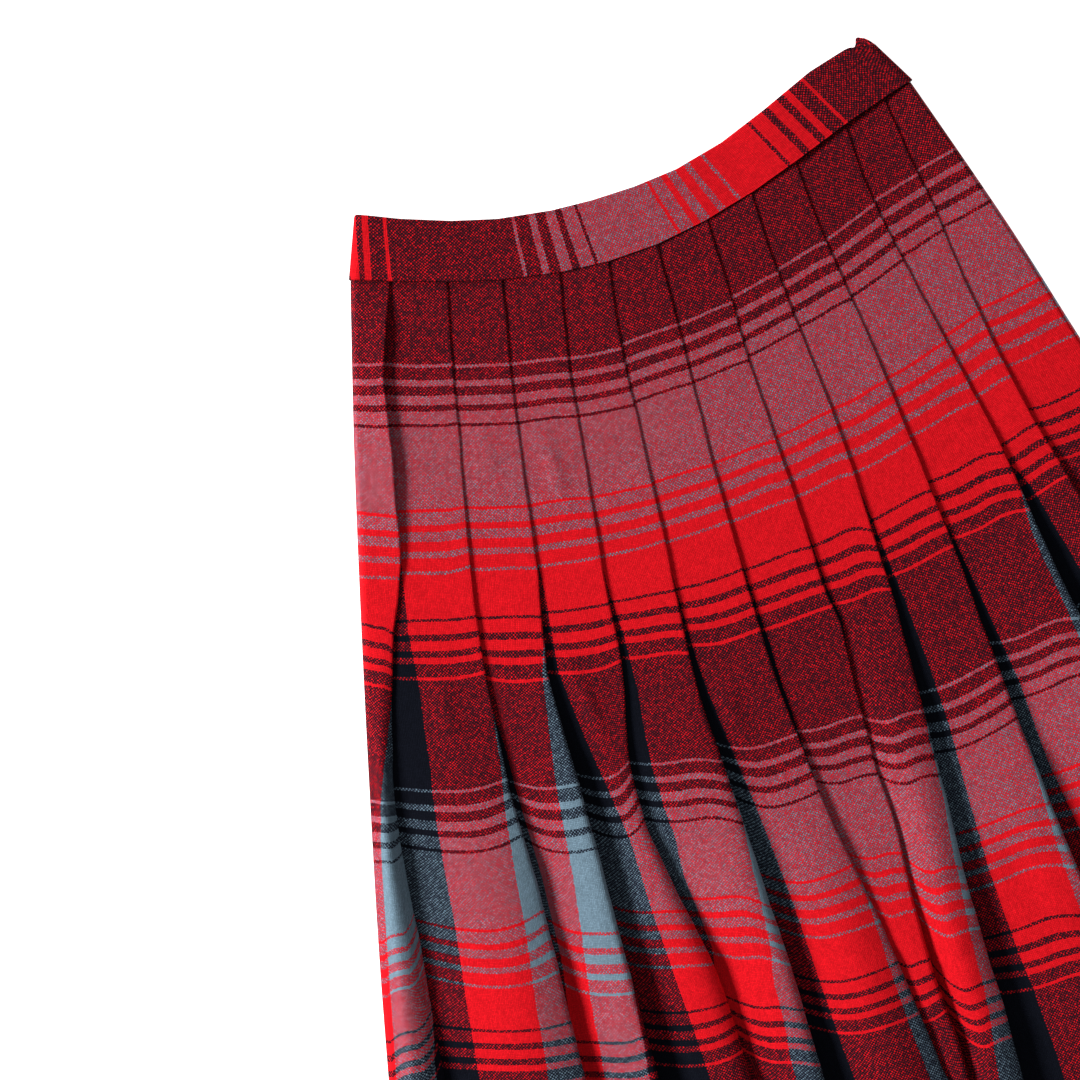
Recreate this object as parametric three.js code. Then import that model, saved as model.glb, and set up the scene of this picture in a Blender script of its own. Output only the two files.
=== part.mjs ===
import * as THREE from 'three';

// Pleated midi skirt laid flat, in millimetres.
// X runs across the skirt, +Y towards the waist, -Y towards the hem, +Z up from the surface.

// Cloth
const clothThickness = 1.0;
const layerGap = 0.35;
const layerStep = clothThickness + layerGap;
const seamGap = 0.35;
const backSeamGap = 0.47;
const panelGap = 0.3;
const skirtLength = 722;
const mitreLimit = 0.6;

// Pleats of the front, pressed shut at the top and open below
const foldDepth = 27;
const foldShare = 0.8;
const openDepth = 12;
const openShare = 0.45;
const openingLength = 190;
const openNose = 5.5;
const noseShare = 0.3;
const youngRoll = 0.75;
const faceShares = [0.14, 0.4, 0.7, 0.9];

// Pleats of the back, which lies flat on the surface
const stepStart = 1.5;
const stepEnd = 7;
const stepShare = 0.6;
const stepMargin = 2.5;
const leastDepth = 2.5;

// Rows of the cloth, as lengths below the waist seam
const frontRows = [seamGap, 60, 120, 175, 215, 255, 300, 350, 410, 480, 560, 640, skirtLength];
const backRows = [backSeamGap, 90, 180, 270, 380, 500, 610, skirtLength];

// Heights
const backTop = clothThickness + 2 * layerStep;
const frontBase = backTop + panelGap + clothThickness / 2;
const sideSeamHeight = backTop / 2;
const sideSeamGap = 0.65;
const sideRise = 3;
const sideLift = 1;

// Each row is a fold line of the front: its point on the waist seam, the point of the band's top edge over
// it, the length below the seam where the pleat opens, the height of its roll at the hem, and its place
// across the skirt at the stations below the seam. Y counts down towards the hem in this table.
const stations = [100, 200, 300, 400, 500, 600, 760];
const sideLeft = {
  seamX: -181.7, seamY: 2.0, topX: -165.6, topY: -35.0,
  across: [-213, -243, -272, -300, -326, -352, -394],
};
const sideRight = {
  seamX: 182.0, seamY: -1.5, topX: 166.2, topY: -32.0,
  across: [210, 234, 262, 290, 317, 344, 386],
};
const folds = [
  {
    seamX: -154.3, seamY: 12.5, topX: -141.0, topY: -23.5, opensAt: 185, roll: 13,
    across: [-191, -219, -257, -274, -289, -304, -330],
  },
  {
    seamX: -124.3, seamY: 23.0, topX: -111.5, topY: -12.0, opensAt: 225, roll: 15,
    across: [-146, -170, -186, -196, -205, -217, -240],
  },
  {
    seamX: -95.0, seamY: 32.0, topX: -84.5, topY: -4.0, opensAt: 190, roll: 17,
    across: [-111, -131, -146, -154, -161, -169, -186],
  },
  {
    seamX: -58.3, seamY: 39.5, topX: -51.5, topY: 1.8, opensAt: 235, roll: 13,
    across: [-72, -89, -105, -114, -109, -110, -122],
  },
  {
    seamX: -28.8, seamY: 42.7, topX: -26.0, topY: 4.0, opensAt: 220, roll: 17,
    across: [-39, -50, -62, -63, -65, -70, -80],
  },
  {
    seamX: 2.9, seamY: 42.5, topX: 1.0, topY: 4.5, opensAt: 290, roll: 17,
    across: [-2, -10, -15, -14, -2, 3, 4],
  },
  {
    seamX: 34.5, seamY: 38.5, topX: 28.5, topY: 2.8, opensAt: 330, roll: 12,
    across: [33, 32, 30, 25, 16, 20, 32],
  },
  {
    seamX: 69.1, seamY: 31.0, topX: 60.0, topY: -3.6, opensAt: 225, roll: 17,
    across: [68, 70, 66, 60, 52, 52, 68],
  },
  {
    seamX: 101.6, seamY: 21.5, topX: 90.5, topY: -13.6, opensAt: 250, roll: 14,
    across: [104, 110, 114, 116, 121, 130, 148],
  },
  {
    seamX: 137.3, seamY: 10.0, topX: 124.5, topY: -26.5, opensAt: 190, roll: 16,
    across: [141, 158, 167, 178, 190, 205, 232],
  },
  {
    seamX: 168.8, seamY: 1.5, topX: 152.0, topY: -33.0, opensAt: 210, roll: 14,
    across: [171, 181, 198, 218, 240, 265, 306],
  },
];

// Waistband: its wall and the heights of its front
const bandWall = 3.0;
const bandSeamHeight = 9.9;
const bandTopHeight = 8.7;
const overlapFrom = 9.4;
const overlapTo = 10.4;
const overlapGap = 2.5;
const lapRamp = 1.6;
const turnInset = 3.7;
const turnEdge = 0.6;
const turnRise = 2;
const underlapLift = 0.6;
const lapEndShare = 0.15;

// Hook and bar between the overlapped ends of the band. They lie left of this fold, counted from 0.
const plateGap = 0.3;
const lapFold = 9;
const lapShare = 0.62;
const plateSegments = 4;
const hookPlate = { length: 14, width: 9, thickness: 0.8, tongue: 5 };
const barPlate = {
  length: 12, width: 8, thickness: 0.8, corner: 1.5, slotLength: 7, slotWidth: 3, slotCorner: 1,
};

const clothColour = 0xa8323c;
const metalColour = 0xb9babd;

function smoothstep(value) {
  const share = Math.min(1, Math.max(0, value));
  return share * share * (3 - 2 * share);
}

function mix(from, to, share) {
  return from + (to - from) * share;
}

// A fold line as a smooth curve through its seam point and its stations
function lineCurve(line) {
  const points = [new THREE.Vector2(line.seamX, -line.seamY)];
  line.across.forEach((x, index) => points.push(new THREE.Vector2(x, -stations[index])));
  const curve = new THREE.SplineCurve(points);
  curve.arcLengthDivisions = 400;
  return curve;
}

// The point at a length below the seam, straight on past the last station
function pointAt(curve, length) {
  const whole = curve.getLength();
  if (length <= whole) {
    return curve.getPointAt(length / whole);
  }
  const end = curve.getPointAt(1);
  const tangent = curve.getTangentAt(1);
  return end.addScaledVector(tangent, length - whole);
}

const lines = [sideLeft, ...folds, sideRight];
const frontCurves = lines.map(lineCurve);

// Fold lines of the back: the same points at the seam, evenly spread between the two sides below it
const backCurves = lines.map((line) => {
  const share = (line.seamX - sideLeft.seamX) / (sideRight.seamX - sideLeft.seamX);
  const across = stations.map((_, index) => mix(sideLeft.across[index], sideRight.across[index], share));
  return lineCurve({ seamX: line.seamX, seamY: line.seamY, across });
});

// A row of cloth: its points at the fold lines, and how far along the row each one lies
function makeRow(points) {
  const along = [0];
  for (let index = 1; index < points.length; index += 1) {
    along.push(along[index - 1] + points[index].distanceTo(points[index - 1]));
  }
  return { points, along };
}

// The place on the surface of a distance along a row
function placeOnRow(row, distance) {
  const last = row.points.length - 1;
  let index = 1;
  while (index < last && distance > row.along[index]) {
    index += 1;
  }
  const share = (distance - row.along[index - 1]) / (row.along[index] - row.along[index - 1]);
  return row.points[index - 1].clone().lerp(row.points[index], share);
}

// Moves each point of an open path sideways by half the wall, with mitred corners
function offsetPath(path, amount) {
  return path.map((point, index) => {
    const before = path[Math.max(0, index - 1)];
    const after = path[Math.min(path.length - 1, index + 1)];
    const into = point.clone().sub(before).normalize();
    const out = after.clone().sub(point).normalize();
    const bisector = into.clone().add(out).normalize();
    const along = index > 0 ? into : out;
    const reach = amount / Math.max(mitreLimit, bisector.dot(along));
    return new THREE.Vector2(point.x - bisector.y * reach, point.y + bisector.x * reach);
  });
}

// A closed wall through rows of equal paths. Each path is in (distance along the row, height).
function wallThroughRows(rows, paths, wall) {
  const rings = paths.map((path, rowIndex) => {
    const place = (point) => {
      const flat = placeOnRow(rows[rowIndex], point.x);
      return new THREE.Vector3(flat.x, flat.y, point.y);
    };
    const upper = offsetPath(path, wall / 2).map(place);
    const lower = offsetPath(path, -wall / 2).map(place);
    return [...upper, ...lower.reverse()];
  });
  const count = rings[0].length;
  const half = count / 2;
  const positions = rings.flat().flatMap((point) => [point.x, point.y, point.z]);
  const triangles = [];
  for (let row = 0; row < rings.length - 1; row += 1) {
    for (let index = 0; index < count; index += 1) {
      const next = (index + 1) % count;
      const a = row * count + index;
      const b = row * count + next;
      const c = (row + 1) * count + index;
      const d = (row + 1) * count + next;
      if (index < half) {
        triangles.push(a, c, b, b, c, d);
      } else {
        triangles.push(a, c, d, a, d, b);
      }
    }
  }
  const lastRow = (rings.length - 1) * count;
  for (let index = 0; index < half - 1; index += 1) {
    const across = count - 1 - index;
    triangles.push(index, index + 1, across, index + 1, across - 1, across);
    triangles.push(lastRow + index, lastRow + across, lastRow + index + 1);
    triangles.push(lastRow + index + 1, lastRow + across, lastRow + across - 1);
  }
  const geometry = new THREE.BufferGeometry();
  geometry.setAttribute('position', new THREE.Float32BufferAttribute(positions, 3));
  geometry.setIndex(triangles);
  geometry.computeVertexNormals();
  return geometry;
}

// How far a pleat has opened at a length below the seam, from 0 to 1
function openShareAt(fold, length) {
  return smoothstep((length - fold.opensAt) / openingLength);
}

// The side edge of a panel comes down to the side seam
function sideEdge(distance, sign) {
  return new THREE.Vector2(distance, sign * (sideSeamHeight + sign * sideSeamGap));
}

// One pleat's roll: over the crest, round the nose, back under the face and round the hidden inner fold
function foldTurn(end, crest, nose, depth) {
  return [
    new THREE.Vector2(end - nose, crest),
    new THREE.Vector2(end, crest - nose),
    new THREE.Vector2(end - nose, crest - 2 * nose),
    new THREE.Vector2(end - depth, frontBase + layerStep),
    new THREE.Vector2(end - depth - layerStep / 2, frontBase + layerStep / 2),
    new THREE.Vector2(end - depth, frontBase),
  ];
}

// Section of the front: shingled faces at the top of the skirt that turn into soft rolls below
function frontPath(row, length) {
  const last = row.points.length - 1;
  const shutLift = foldShare * 2 * layerStep;
  const path = [sideEdge(row.along[0], 1)];
  let openBefore = openShareAt(folds[0], length);
  for (let index = 1; index <= last; index += 1) {
    const fold = folds[index - 1];
    const end = row.along[index];
    const width = end - row.along[index - 1];
    const open = fold ? openShareAt(fold, length) : openBefore;
    const atSide = index === 1;
    const start = row.along[index - 1] + (atSide ? sideRise : 0);
    const low = frontBase + shutLift * (1 - openBefore) + (atSide ? sideLift : 0);
    const roll = fold ? fold.roll * mix(youngRoll, 1, length / skirtLength) : 0;
    const crest = fold ? frontBase + shutLift * (1 - open) + mix(2 * layerStep, roll, open) : low + sideRise;
    const nose = mix(layerStep, Math.min(openNose, width * noseShare), open) / 2;
    const faceEnd = fold ? end - nose : end - sideRise;
    path.push(new THREE.Vector2(start, low));
    faceShares.forEach((share) => {
      const lift = mix(share, Math.sin(share * Math.PI / 2), open);
      path.push(new THREE.Vector2(mix(start, faceEnd, share), mix(low, crest, lift)));
    });
    if (fold) {
      const depth = mix(Math.min(foldDepth, width * foldShare), Math.min(openDepth, width * openShare), open);
      path.push(...foldTurn(end, crest, nose, depth));
    } else {
      path.push(new THREE.Vector2(faceEnd, crest), sideEdge(end, 1));
    }
    openBefore = open;
  }
  return path;
}

// Section of the back, seen from below with the row turned round: each face lies in one flat plane
function backPath(row) {
  const last = row.points.length - 1;
  const outer = -clothThickness / 2;
  const nose = layerStep / 2;
  const path = [sideEdge(row.along[0], -1), new THREE.Vector2(row.along[0] + sideRise, outer)];
  for (let index = 1; index <= last; index += 1) {
    const start = row.along[index - 1];
    const end = row.along[index];
    const step = Math.min(stepEnd, (end - start) * stepShare);
    if (index > 1) {
      path.push(new THREE.Vector2(start + stepStart, outer - 2 * layerStep));
      path.push(new THREE.Vector2(start + step, outer));
    }
    if (index < last) {
      const depth = Math.max(leastDepth, Math.min(foldDepth, end - start - step - stepMargin));
      path.push(new THREE.Vector2(end - nose, outer));
      path.push(new THREE.Vector2(end, outer - nose));
      path.push(new THREE.Vector2(end - nose, outer - layerStep));
      path.push(new THREE.Vector2(end - depth, outer - layerStep));
      path.push(new THREE.Vector2(end - depth - nose, outer - layerStep - nose));
      path.push(new THREE.Vector2(end - depth, outer - 2 * layerStep));
    } else {
      path.push(new THREE.Vector2(end - sideRise, outer), sideEdge(end, -1));
    }
  }
  return path;
}

function clothMaterial() {
  return new THREE.MeshStandardMaterial({ color: clothColour, roughness: 0.95, metalness: 0 });
}

function frontPanel() {
  const rows = frontRows.map((length) => makeRow(frontCurves.map((curve) => pointAt(curve, length))));
  const paths = rows.map((row, index) => frontPath(row, frontRows[index]));
  const mesh = new THREE.Mesh(wallThroughRows(rows, paths, clothThickness), clothMaterial());
  mesh.name = 'front_panel';
  return mesh;
}

function backPanel() {
  const rows = backRows.map((length) => {
    const points = backCurves.map((curve) => pointAt(curve, length)).reverse();
    return makeRow(points.map((point) => new THREE.Vector2(-point.x, point.y)));
  });
  const paths = rows.map((row) => backPath(row));
  const geometry = wallThroughRows(rows, paths, clothThickness);
  geometry.rotateY(Math.PI);
  const mesh = new THREE.Mesh(geometry, clothMaterial());
  mesh.name = 'back_panel';
  return mesh;
}

// Distance along a row at a fractional fold number
function distanceAtFold(row, number) {
  const index = Math.min(Math.floor(number), row.along.length - 2);
  return mix(row.along[index], row.along[index + 1], number - index);
}

// One edge of the band: from the underlap on the back, round the right side, along the front, round
// the left side and back to the overlapping end
function bandPath(row, frontHeight) {
  const last = row.along.length - 1;
  const backHeight = bandWall / 2;
  const lapHeight = backHeight + bandWall + overlapGap;
  const at = (number, height, inset = 0) => new THREE.Vector2(distanceAtFold(row, number) + inset, height);
  const frontAt = (number) => {
    const plain = frontHeight - backHeight;
    return mix(plain, lapHeight + bandWall + plateGap, smoothstep(number - overlapFrom + lapRamp));
  };
  const path = [];
  path.push(at(overlapFrom, lapHeight));
  path.push(at(last - 2, lapHeight));
  path.push(at(overlapTo, lapHeight));
  path.push(at(last - 1, backHeight + underlapLift));
  path.push(at(last, backHeight + underlapLift, -turnInset));
  path.push(at(last, backHeight + turnRise, -turnEdge));
  path.push(at(last, frontAt(last) - turnRise, -turnEdge));
  path.push(at(last, frontAt(last), -turnInset));
  for (let number = last - 1; number > 0; number -= 1) {
    path.push(at(number, frontAt(number)));
  }
  path.push(at(0, frontAt(0), turnInset));
  path.push(at(0, frontAt(0) - turnRise, turnEdge));
  path.push(at(0, backHeight + turnRise, turnEdge));
  path.push(at(0, backHeight, turnInset));
  for (let number = 1; number <= last - 2; number += 1) {
    path.push(at(number, backHeight));
  }
  path.push(at(overlapTo - lapEndShare, backHeight));
  return path;
}

function waistband() {
  const seamRow = makeRow(lines.map((line) => new THREE.Vector2(line.seamX, -line.seamY)));
  const topRow = makeRow(lines.map((line) => new THREE.Vector2(line.topX, -line.topY)));
  const rows = [topRow, seamRow];
  const paths = [bandPath(topRow, bandTopHeight), bandPath(seamRow, bandSeamHeight)];
  const mesh = new THREE.Mesh(wallThroughRows(rows, paths, bandWall), clothMaterial());
  mesh.name = 'waistband';
  return mesh;
}

// The middle of the overlap, and the way the band runs there
function lapPlace() {
  const seam = folds[lapFold];
  const before = folds[lapFold - 1];
  const x = mix(mix(before.seamX, seam.seamX, lapShare), mix(before.topX, seam.topX, lapShare), 0.5);
  const y = -mix(mix(before.seamY, seam.seamY, lapShare), mix(before.topY, seam.topY, lapShare), 0.5);
  const turn = Math.atan2(before.seamY - seam.seamY, seam.seamX - before.seamX);
  return { x, y, turn };
}

function plateMesh(name, shape, thickness, height) {
  const geometry = new THREE.ExtrudeGeometry(shape, {
    depth: thickness, bevelEnabled: false, curveSegments: plateSegments,
  });
  const material = new THREE.MeshStandardMaterial({ color: metalColour, roughness: 0.35, metalness: 1 });
  const mesh = new THREE.Mesh(geometry, material);
  const place = lapPlace();
  mesh.position.set(place.x, place.y, height);
  mesh.rotation.z = place.turn;
  mesh.name = name;
  return mesh;
}

function roundedShape(length, width, radius) {
  const shape = new THREE.Shape();
  const right = length / 2 - radius;
  const top = width / 2 - radius;
  shape.absarc(right, top, radius, 0, Math.PI / 2);
  shape.absarc(-right, top, radius, Math.PI / 2, Math.PI);
  shape.absarc(-right, -top, radius, Math.PI, Math.PI * 1.5);
  shape.absarc(right, -top, radius, Math.PI * 1.5, Math.PI * 2);
  return shape;
}

// A plate that narrows to a round tongue, which hooks round the bar
function waistHook() {
  const { length, width, tongue } = hookPlate;
  const shape = new THREE.Shape();
  shape.moveTo(-length / 2, -width / 2);
  shape.lineTo(length / 2 - tongue, -width / 2);
  shape.lineTo(length / 2 - tongue / 2, -tongue / 2);
  shape.absarc(length / 2 - tongue / 2, 0, tongue / 2, -Math.PI / 2, Math.PI / 2);
  shape.lineTo(length / 2 - tongue, width / 2);
  shape.lineTo(-length / 2, width / 2);
  return plateMesh('waist_hook', shape, hookPlate.thickness, bandWall + plateGap);
}

function waistBar() {
  const shape = roundedShape(barPlate.length, barPlate.width, barPlate.corner);
  const slot = roundedShape(barPlate.slotLength, barPlate.slotWidth, barPlate.slotCorner);
  shape.holes.push(new THREE.Path(slot.getPoints(plateSegments).reverse()));
  return plateMesh('waist_bar', shape, barPlate.thickness, bandWall + hookPlate.thickness + 2 * plateGap);
}

const skirt = new THREE.Group();
skirt.add(frontPanel(), backPanel(), waistband(), waistHook(), waistBar());
const bounds = new THREE.Box3().setFromObject(skirt);
skirt.position.set(-(bounds.min.x + bounds.max.x) / 2, -(bounds.min.y + bounds.max.y) / 2, -bounds.min.z);

export default skirt;
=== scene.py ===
import math

import bpy
import numpy as np
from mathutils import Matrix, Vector


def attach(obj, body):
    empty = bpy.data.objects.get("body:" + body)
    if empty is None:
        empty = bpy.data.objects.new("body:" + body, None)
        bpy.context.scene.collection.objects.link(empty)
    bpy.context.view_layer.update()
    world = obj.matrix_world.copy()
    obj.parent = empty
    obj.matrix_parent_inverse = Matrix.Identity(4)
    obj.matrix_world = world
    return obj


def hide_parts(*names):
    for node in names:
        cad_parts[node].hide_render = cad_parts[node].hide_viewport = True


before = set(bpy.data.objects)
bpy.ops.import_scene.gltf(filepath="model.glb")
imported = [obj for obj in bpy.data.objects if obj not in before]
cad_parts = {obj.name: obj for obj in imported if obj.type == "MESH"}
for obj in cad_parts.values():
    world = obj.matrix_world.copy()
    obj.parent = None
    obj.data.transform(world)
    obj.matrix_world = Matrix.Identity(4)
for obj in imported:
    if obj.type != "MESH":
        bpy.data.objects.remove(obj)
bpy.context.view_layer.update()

# Sizes are in millimetres until a mesh is made. X runs across the skirt, +Y towards the waist.
MM = 0.001
SKIRT_LENGTH = 722.0
# The cloth's thickness, and how far apart the middles of two layers lie
CLOTH, LAYER_STEP = 0.8, 1.35
# The edge at the seam: how soon below it the cloth lies at its full height, and how deep the edge turns down
SEAM_GAP, SEAM_DIP = 0.5, 2.4

# Heights of the back's uppermost layer and of the front's lowest one
BACK_TOP = 1.0 + 2 * LAYER_STEP
FRONT_BASE = BACK_TOP + 0.8

# How high a pressed fold stands over the next face, at lengths below the seam
PRESSED_STEPS = [(0, 1.35), (110, 1.4), (210, 2.9)]
# How far the hidden part of a fold reaches, pressed and open, and its largest share of the face over it
FOLD_DEPTH, FOLD_SHARE = 27.0, 0.8
OPEN_DEPTH, OPEN_SHARE = 12.0, 0.45
# The length over which a pleat opens, and how high its roll stands at the waist against the hem
OPENING_LENGTH, YOUNG_ROLL = 190.0, 0.75
# The round nose of an open fold: its thickness, its largest share of the face, and the layers under it
OPEN_NOSE, NOSE_SHARE, NOSE_LAYERS = 5.5, 0.3, 1.6
# How much of its crest's height a face may fall again
FALL_LIMIT = 0.7
# The slow wander of crests and of fold lines
CREST_WANDER = 1.1
LINE_WANDER, LINE_SEED = 0.35, 20
WAVE_LENGTHS = (23.0, 41.0, 67.0, 119.0)
WAVE_PHASE, WAVE_PHASE_STEP = 2.3, 1.7
# The side edges curve in to the side seam: how far, how high, and the cloth in the curve
SIDE_SEAM_HEIGHT, SIDE_SEAM_GAP = BACK_TOP / 2, 0.65
SIDE_RISE, SIDE_LIFT = 3.0, 1.0
SIDE_CLOTH = SIDE_RISE * 1.6

# How fine the cloth's grids are: rows down to where the pleats open and below, and columns of a face
PRESSED_TO, PRESSED_ROWS = 180, 28
OPEN_FROM, OPEN_ROWS = 186, 92
BACK_ROWS = 70
FACE_COLUMNS, FACE_CROWDING = 15, 1.25
NOSE_COLUMNS = 8
CURVE_STEPS = 60

# The back's section, worked out face up: its outer side, and where in its unit each face starts
BACK_OUTER = -0.5
BACK_SHOW, BACK_SIDE_SHOW = 38, 35.0
# Where a face comes out from under the fold before it, how soon it lies flat, and the shallowest fold
BACK_START = 1.5
BACK_FLAT, BACK_FLAT_SHARE = 7.0, 0.6
BACK_LEAST_DEPTH = 2.5
QUARTERS = (0.25, 0.5, 0.75, 1)

# The fold table is counted from the middle of the seam's chord, and the frame from the middle of the box
ORIGIN = (4.035, 364.5)

# Places across the skirt at stations below the seam, the same as the solids have
STATIONS = [100, 200, 300, 400, 500, 600, 760]
LEFT = dict(seam=(-181.7, 2), top=(-165.6, -35), across=[-213, -243, -272, -300, -326, -352, -394])
RIGHT = dict(seam=(182, -1.5), top=(166.2, -32), across=[210, 234, 262, 290, 317, 344, 386])
FOLDS = [
    dict(seam=(-154.3, 12.5), top=(-141, -23.5), opens=185, roll=13,
         across=[-191, -219, -257, -274, -289, -304, -330]),
    dict(seam=(-124.3, 23), top=(-111.5, -12), opens=225, roll=15,
         across=[-146, -170, -186, -196, -205, -217, -240]),
    dict(seam=(-95, 32), top=(-84.5, -4), opens=190, roll=17,
         across=[-111, -131, -146, -154, -161, -169, -186]),
    dict(seam=(-58.3, 39.5), top=(-51.5, 1.8), opens=235, roll=13,
         across=[-72, -89, -105, -114, -109, -110, -122]),
    dict(seam=(-28.8, 42.7), top=(-26, 4), opens=220, roll=17,
         across=[-39, -50, -62, -63, -65, -70, -80]),
    dict(seam=(2.9, 42.5), top=(1, 4.5), opens=290, roll=17,
         across=[-2, -10, -15, -14, -2, 3, 4]),
    dict(seam=(34.5, 38.5), top=(28.5, 2.8), opens=330, roll=12,
         across=[33, 32, 30, 25, 16, 20, 32]),
    dict(seam=(69.1, 31), top=(60, -3.6), opens=225, roll=17,
         across=[68, 70, 66, 60, 52, 52, 68]),
    dict(seam=(101.6, 21.5), top=(90.5, -13.6), opens=250, roll=14,
         across=[104, 110, 114, 116, 121, 130, 148]),
    dict(seam=(137.3, 10), top=(124.5, -26.5), opens=190, roll=16,
         across=[141, 158, 167, 178, 190, 205, 232]),
    dict(seam=(168.8, 1.5), top=(152, -33), opens=210, roll=14,
         across=[171, 181, 198, 218, 240, 265, 306]),
]
LINES = [LEFT] + FOLDS + [RIGHT]

# The check across the cloth: one unit is a pleat, with a navy, a red and a blue band
UNIT = 105.0
NAVY_TO_RED, RED_TO_BLUE = 31.0, 75.0
# Where in its unit each face comes out from under the fold before it: a row for each face, at lengths
# below the seam
SHOW_STATIONS = [0, 150, 200, 250, 300, 350, 400, 450, 500, 560, 722]
SHOWS = [
    [46, 46, 51, 60, 66, 70, 71.5, 72, 73, 73, 70],
    [38, 35, 26, 15, 8, 7, 7.5, 9, 10, 10, 10],
    [38, 38, 39, 41, 44, 48.5, 54, 60, 63, 64, 60],
    [38, 34, 28, 24, 18, 9.5, 7, 3.5, 0, 0, 2],
    [38, 36, 30, 25, 19, 17, 28, 41, 45, 48, 45],
    [38, 36, 30, 27, 23, 20, 17, 15.5, 13.5, 8, 5],
    [38, 35, 30, 28, 29, 31, 33, 39, 44, 50, 40],
    [38, 36, 30, 29, 32, 37, 39, 40, 44, 52, 45],
    [38, 36, 30, 26, 21, 17, 16, 14, 11, 6, 4],
    [38, 37, 34, 29, 25, 21, 22, 19, 17, 15, 12],
    [38, 37, 31, 24, 18, 15, 13, 12, 11, 10, 8],
    [38, 38, 36, 33, 30, 27, 25, 22, 20, 18, 15],
]

# The check along the cloth, from the seam down: colour and length in pairs of picks
PICK = 0.96
WARP_PITCH = 1.03
BODY_SHIFT = 17.0
STRIPE_STEP = 2 * PICK


def graded(main, other):
    """Four stripes of the next colour that widen as four of the old one narrow."""
    return [(other, 1), (main, 4), (other, 2), (main, 3), (other, 3), (main, 2), (other, 4), (main, 1)]


STRIPES = (
    [("navy", 36)] + graded("navy", "blue")
    + [("blue", 25)] + graded("blue", "red")
    + [("red", 15)] + graded("red", "navy")
)
REPEAT = sum(count for _, count in STRIPES) * STRIPE_STEP

COLOURS = dict(navy=(0.0042, 0.005, 0.009), blue=(0.13, 0.197, 0.25), red=(0.61, 0.0062, 0.0118))

# Down to where the pleats open, each one is pressed along the same yarn and shows the red band alone
FOLD_YARN, PRESSED_FIRST, PRESSED_LAST = 71.0, 32.5, 74.0
# How far below the seam the navy and the blue come into sight on each face, and over what length
NAVY_FROM = {2: 130, 4: 120, 5: 135, 6: 135, 7: 140, 8: 140, 9: 135}
BLUE_FROM = {1: 180, 3: 195, 7: 330}
OTHER_NAVY_FROM, NAVY_FADE = 180.0, 75.0
OTHER_BLUE_FROM, BLUE_FADE = 235.0, 50.0

# How far along the warp the cloth has slid where a face starts, in its middle and where it ends
SLIDE_STATIONS = [60, 140, 180, 210, 250, 315, 350, 400, 440, 470, 505]
SLIDES = [
    dict(start=[1, -1, -4, -2, -4, -5, -6, -4, 0, 3, 3],
         middle=[1, -2, -4, -4, -5, -5, -5, 3, 8, 12, 12],
         end=[2, -3, -4, -7, -7, -6, 0, 18, 21, 24, 24]),
    dict(start=[2, 0, -1, 0, 0, 4, 5, 11, 13, 11, 11],
         middle=[1, 1, -1, 1, -1, 1, 0, 3, 5, 9, 9],
         end=[2, 3, 3, 3, 3, 8, 9, 14, 11, 11, 11]),
    dict(start=[1, 3, 1, 2, -1, 8, 6, 8, 3, -3, -3],
         middle=[1, 2, 1, 2, -4, 1, -3, -2, -4, -4, -4],
         end=[1, 2, 0, 1, -3, 3, -1, -2, -3, 0, 0]),
    dict(start=[1, 2, 1, 4, 1, 9, 9, 13, 13, 15, 15],
         middle=[1, 3, 1, 3, -2, 4, 3, 7, 8, 10, 10],
         end=[0, 2, 2, 4, 2, 14, 11, 4, 6, 14, 14]),
    dict(start=[0, 2, 2, 5, 4, 13, 12, 12, 12, 15, 15],
         middle=[-1, 2, 2, 4, 1, 7, 6, 8, 4, 3, 3],
         end=[-1, 2, 4, 3, -2, 1, -2, -3, -4, -2, -2]),
    dict(start=[1, 3, 2, 4, 4, 14, 14, 17, 18, 20, 21],
         middle=[2, 3, 2, 2, -2, 2, 0, 3, 4, 7, 8],
         end=[2, 2, 3, 3, -1, 3, 2, 5, 3, 8, 8]),
    dict(start=[2, 3, 2, 2, -2, 5, 9, 12, 11, 5, 1],
         middle=[1, 2, 1, 1, -4, -1, 0, 2, 1, 0, 0],
         end=[0, 0, -1, -1, -5, -3, -3, -2, -1, -1, 1]),
    dict(start=[3, 2, 0, -1, -4, -4, -5, -4, -4, -2, -8],
         middle=[2, 0, -2, -3, -9, -14, -17, -19, -24, -26, -30],
         end=[1, -1, -5, -10, -14, -18, -21, -25, -30, -30, -33]),
    dict(start=[3, 0, -5, -6, -7, -9, -10, -10, -10, -9, -9],
         middle=[2, -3, -8, -7, -10, -13, -17, -15, -13, -12, -17],
         end=[0, -4, -8, -9, -11, -14, -15, -16, -20, -24, -26]),
    dict(start=[1, -3, -5, -4, -7, -4, -4, -3, -3, -3, -3],
         middle=[1, -5, -7, -8, -12, -12, -11, -9, -9, -9, -9],
         end=[1, -5, -10, -13, -18, -19, -19, -18, -18, -18, -18]),
    dict(start=[3, -2, -7, -10, -13, -14, -14, -14, -14, -14, -14],
         middle=[2, -3, -8, -11, -14, -15, -15, -15, -15, -15, -15],
         end=[1, -3, -10, -12, -15, -16, -16, -16, -16, -16, -16]),
    dict(start=[3, -1, -4, -3, -4, -6, -7, -8, -8, -8, -8],
         middle=[3, -3, -6, -7, -8, -8, -9, -9, -9, -9, -9],
         end=[3, -3, -7, -8, -9, -9, -10, -10, -10, -10, -10]),
]
SLIDE_MIDDLE = 0.55

# Open faces that fall again towards their fold: where the top lies across the face, and the drop below it
FALLS = {1: (0.45, 9.0), 2: (0.75, 3.5), 4: (0.85, 3.0), 5: (0.9, 2.0), 6: (0.7, 4.0), 8: (0.6, 3.5)}
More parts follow.
